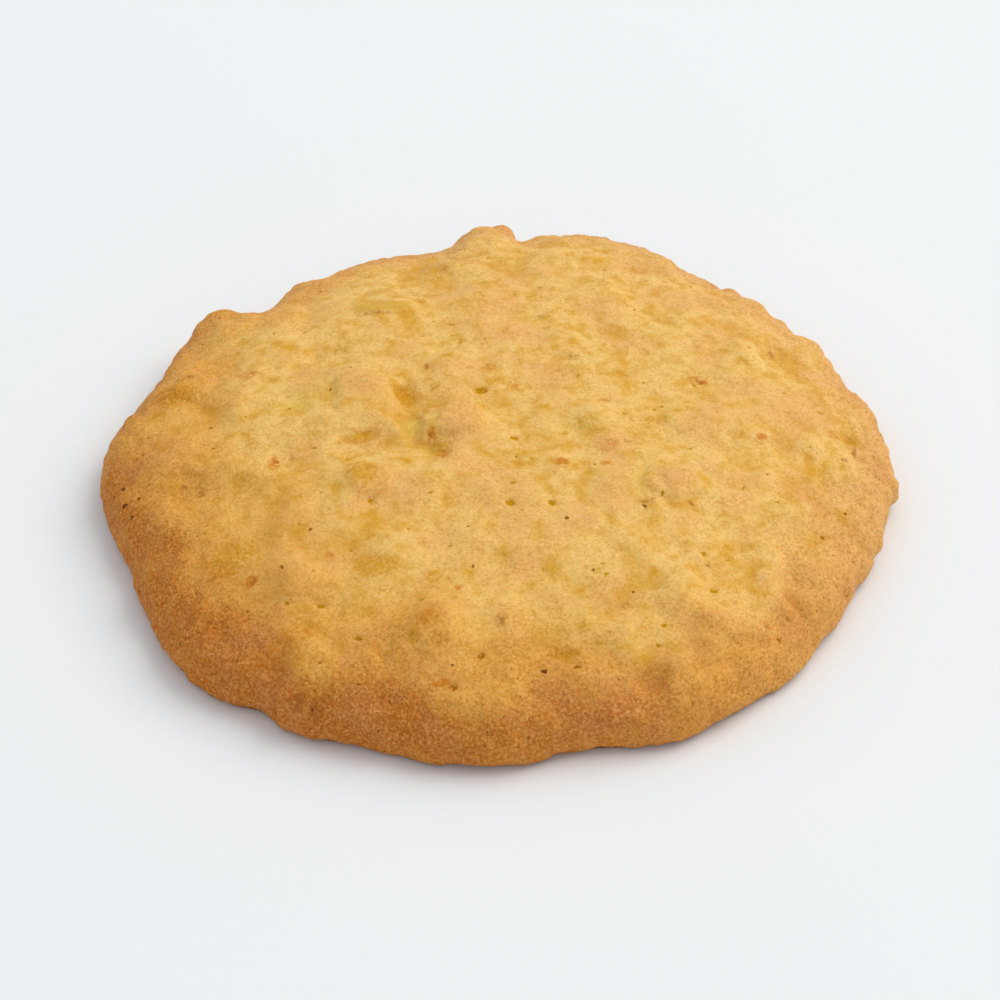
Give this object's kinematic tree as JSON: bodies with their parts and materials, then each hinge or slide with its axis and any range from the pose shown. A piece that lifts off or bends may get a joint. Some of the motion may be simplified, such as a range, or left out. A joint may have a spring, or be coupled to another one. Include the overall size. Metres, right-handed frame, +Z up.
{
  "type": "oatmeal cookie",
  "caption": "Round oatmeal drop cookie with a low, lumpy golden dome, a browned uneven rim and a flat baked underside.",
  "frame": {"origin": "point on the flat underside, below the middle of the cookie", "axes": "+Z up through the dome, -Y towards the side with the most browned rim, +X to that side's right"},
  "size_m": [0.091, 0.0914, 0.0139],
  "materials": {
    "crust": "matt baked crust, golden on top and browned at the rim"
  },
  "bodies": {
    "root": {"cookie": "crust"}
  },
  "joints": []
}
